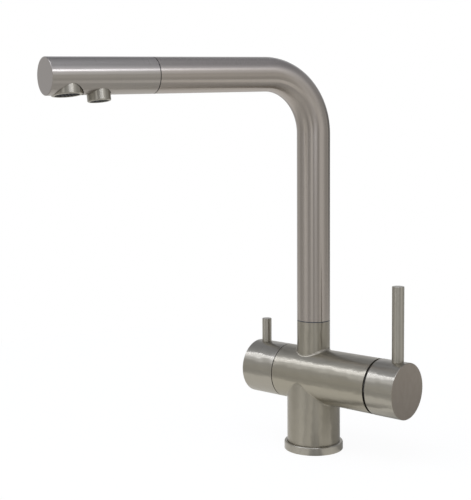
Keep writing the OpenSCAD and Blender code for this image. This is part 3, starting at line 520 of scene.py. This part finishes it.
def make_floor():
    """A plain pale round floor just under the tap. Mirrors see it duller in places than the camera, as
    painted shade in its glow.
    """
    mesh = bmesh.new()
    bmesh.ops.create_circle(mesh, cap_ends=True, segments=FLOOR_SEGMENTS, radius=FLOOR_R)
    data = bpy.data.meshes.new("floor")
    mesh.to_mesh(data)
    mesh.free()
    floor = bpy.data.objects.new("floor", data)
    floor.location = (0, 0, -FLOOR_GAP)
    scene.collection.objects.link(floor)
    material, tree = new_material("Matt_white_laminate")
    in_mm, parts = object_place(tree)
    near = add(
        tree, "ShaderNodeMapRange", {"Value": parts[1], "From Min": FLOOR_DIM_Y, "From Max": FLOOR_LIT_Y},
        interpolation_type="SMOOTHSTEP",
    ).outputs["Result"]
    # Painted shade: mirrors see the floor's front at the dull level
    level = add(
        tree, "ShaderNodeMix", {"Factor": near, 2: FLOOR_SHADE_LEVEL, 3: FLOOR_BRIGHT}, data_type="FLOAT"
    ).outputs[0]
    azimuth = angle_of(tree, parts[1], parts[0])
    away = add(tree, "ShaderNodeVectorMath", {0: in_mm}, operation="LENGTH").outputs["Value"]
    # Painted shade patches in the glow, which only mirrors see
    for side, half_wide, middle, half_deep, strength in FLOOR_SHADE_PATCHES:
        wide = sector(tree, azimuth, side, half_wide, PATCH_EDGE)
        level = plus(tree, level, wide, band(tree, away, middle, half_deep, PATCH_END), strength)
    camera, glossy = background_rays(tree)
    seen = add(tree, "ShaderNodeMath", {0: camera, 1: glossy}, operation="MAXIMUM").outputs[0]
    white = add(tree, "ShaderNodeMath", {0: seen, 1: FLOOR_WHITE}, operation="MULTIPLY").outputs[0]
    level = add(
        tree, "ShaderNodeMix", {"Factor": camera, 2: level, 3: FLOOR_BRIGHT}, data_type="FLOAT"
    ).outputs[0]
    laminate = add(
        tree, "ShaderNodeBsdfPrincipled",
        {
            "Base Color": linear(LAMINATE), "Roughness": LAMINATE_ROUGHNESS,
            "Specular IOR Level": LAMINATE_SHINE,
        },
    ).outputs["BSDF"]
    glow = add(tree, "ShaderNodeEmission", {"Color": WHITE, "Strength": level}).outputs[0]
    shader = add(tree, "ShaderNodeMixShader", {0: white, 1: laminate, 2: glow}).outputs[0]
    add(tree, "ShaderNodeOutputMaterial", {"Surface": shader})
    floor.data.materials.append(material)


make_floor()

# Studio

# The room's plain level, then its soft boxes and dark flags: azimuth, half width, elevation,
# half height (all in degrees), softness, and how much each adds to the level
ROOM_LEVEL = 0.64
SOFT_BOXES = [
    (-108, 12, 15, 45, 7, 0.29),
    (-63, 6, 15, 45, 5, 0.36),
    (10, 16, 10, 45, 9, 0.35),
    (125, 16, 10, 25, 8, 0.25),
    (-60, 60, 66, 12, 8, 0.68),
    (16, 20, 30, 8, 12, 0.43),
]
FLAGS = [
    (88, 14, 10, 30, 8, -0.13),
    (-147, 12, 0, 30, 8, -0.12),
    (-84, 4, 15, 45, 3, -0.27),
    (-50, 5, 10, 40, 3, -0.13),
    (-50, 7, 2, 8, 4, -0.25),
    (-20, 6, 10, 50, 5, -0.17),
    (54, 12, 10, 30, 8, -0.09),
    (88, 20, 2, 8, 6, -0.4),
    (13, 14, 3, 6, 5, -0.19),
    (-128, 10, -2, 8, 5, -0.09),
    (30, 30, -20, 12, 8, -0.25),
    (85, 60, 52, 14, 8, -0.31),
    (165, 22, 53, 8, 6, -0.45),
    (-160, 8, 53, 7, 5, -0.45),
]
# Long strips level with the cross body, in front of it and above: angle round its axis from
# straight ahead, half width, softness and what each adds. They run from one place to another
# along the axis, as the cosine to it.
STRIPS = [
    (57, 2.5, 2, 4.2),
    (49, 4, 4, 2.7),
    (36, 7, 6, 0.76),
]
STRIP_FROM = -0.68
STRIP_TO = 0.12
STRIP_END = 0.18
# No flag takes the level below this
DARKEST = 0.02
# Light from above is a little cooler, from one elevation up to another
COOL_FROM = -5
COOL_TO = 55
COOL_LIGHT = (0.98, 1.03, 1.18, 1.0)


def make_world():
    """A pale room with soft boxes, strips and flags, which light the tap. The camera sees plain white."""
    world = bpy.data.worlds.new("studio")
    scene.world = world
    world.use_nodes = True
    tree = world.node_tree
    tree.nodes.clear()
    toward = add(tree, "ShaderNodeTexCoord").outputs["Generated"]
    x, y, z = add(tree, "ShaderNodeSeparateXYZ", {0: toward}).outputs
    azimuth = angle_of(tree, y, x)
    elevation = add(tree, "ShaderNodeMath", {0: z}, operation="ARCSINE").outputs[0]
    elevation = add(tree, "ShaderNodeMath", {0: elevation}, operation="DEGREES").outputs[0]
    level = ROOM_LEVEL
    for side, half_wide, height, half_high, soft, strength in SOFT_BOXES + FLAGS:
        wide = sector(tree, azimuth, side, half_wide, soft)
        high = band(tree, elevation, height, half_high, soft)
        level = plus(tree, level, wide, high, strength)
    ahead = add(tree, "ShaderNodeMath", {0: y, 1: -1.0}, operation="MULTIPLY").outputs[0]
    around = angle_of(tree, z, ahead)
    middle = (STRIP_FROM + STRIP_TO) / 2
    along = band(tree, x, middle, (STRIP_TO - STRIP_FROM) / 2, STRIP_END)
    for angle, half, soft, strength in STRIPS:
        level = plus(tree, level, along, band(tree, around, angle, half, soft), strength)
    level = add(tree, "ShaderNodeMath", {0: level, 1: DARKEST}, operation="MAXIMUM").outputs[0]
    camera = add(tree, "ShaderNodeLightPath").outputs["Is Camera Ray"]
    seen = add(tree, "ShaderNodeMix", {"Factor": camera, 2: level, 3: 1.0}, data_type="FLOAT").outputs[0]
    high = add(
        tree, "ShaderNodeMapRange", {"Value": elevation, "From Min": COOL_FROM, "From Max": COOL_TO},
        interpolation_type="SMOOTHSTEP",
    ).outputs["Result"]
    mirrored = add(tree, "ShaderNodeMath", {0: 1.0, 1: camera}, operation="SUBTRACT").outputs[0]
    high = add(tree, "ShaderNodeMath", {0: high, 1: mirrored}, operation="MULTIPLY").outputs[0]
    tint = add(
        tree, "ShaderNodeMix", {"Factor": high, 6: WHITE, 7: COOL_LIGHT}, data_type="RGBA"
    ).outputs[2]
    background = add(tree, "ShaderNodeBackground", {"Color": tint, "Strength": seen})
    add(tree, "ShaderNodeOutputWorld", {"Surface": background.outputs[0]})


make_world()

# A soft lamp beside the outlet head in a larger, dimmer one: place and width in m, then the height
# of each in m and the level of its face
LAMP_AT = (0.290, -0.262, 0.505)
LAMP_FACING = Vector((-0.857, 0.0, -0.518))
LAMP_WIDE = 0.230
LAMPS = [
    ("head_lamp", 0.070, 4.9),
    ("head_glow", 0.360, 0.55),
]


def make_lamp(name, high, level):
    """A near lamp that draws the bright line along the outlet head, or the glow round that line."""
    data = bpy.data.lights.new(name, "AREA")
    data.shape = "RECTANGLE"
    data.size = LAMP_WIDE
    data.size_y = high
    data.energy = level * math.pi * LAMP_WIDE * high
    data.color = COOL_LIGHT[:3]
    lamp = bpy.data.objects.new(name, data)
    lamp.location = LAMP_AT
    lamp.rotation_mode = "QUATERNION"
    lamp.rotation_quaternion = LAMP_FACING.to_track_quat("-Z", "Y")
    lamp.visible_camera = False
    scene.collection.objects.link(lamp)


for lamp_name, lamp_high, lamp_level in LAMPS:
    make_lamp(lamp_name, lamp_high, lamp_level)

# Camera

# Place in m, angles in degrees, lens and sensor in mm, clipping in m
CAMERA_AT = (0.54042, -0.69919, 0.26548)
CAMERA_YAW = 41.979
CAMERA_PITCH = -3.952
CAMERA_ROLL = -0.328
CAMERA_LENS = 75.267
CAMERA_SENSOR = 36
CAMERA_SHIFT_Y = -0.08
CAMERA_NEAR = 0.01
CAMERA_FAR = 20


def make_camera():
    """The photograph's camera."""
    yaw, pitch, roll = (math.radians(a) for a in (CAMERA_YAW, CAMERA_PITCH, CAMERA_ROLL))
    look = Vector((-math.sin(yaw) * math.cos(pitch), math.cos(yaw) * math.cos(pitch), math.sin(pitch)))
    level = Vector((math.cos(yaw), math.sin(yaw), 0))
    rise = level.cross(look)
    right = level * math.cos(roll) + rise * math.sin(roll)
    up = rise * math.cos(roll) - level * math.sin(roll)
    data = bpy.data.cameras.new("camera")
    data.sensor_width = CAMERA_SENSOR
    data.lens = CAMERA_LENS
    data.shift_y = CAMERA_SHIFT_Y
    data.clip_start = CAMERA_NEAR
    data.clip_end = CAMERA_FAR
    camera = bpy.data.objects.new("camera", data)
    turn = Matrix((right, up, -look)).transposed().to_4x4()
    camera.matrix_world = Matrix.Translation(CAMERA_AT) @ turn
    scene.collection.objects.link(camera)
    scene.camera = camera


make_camera()

scene.view_settings.view_transform = "Standard"
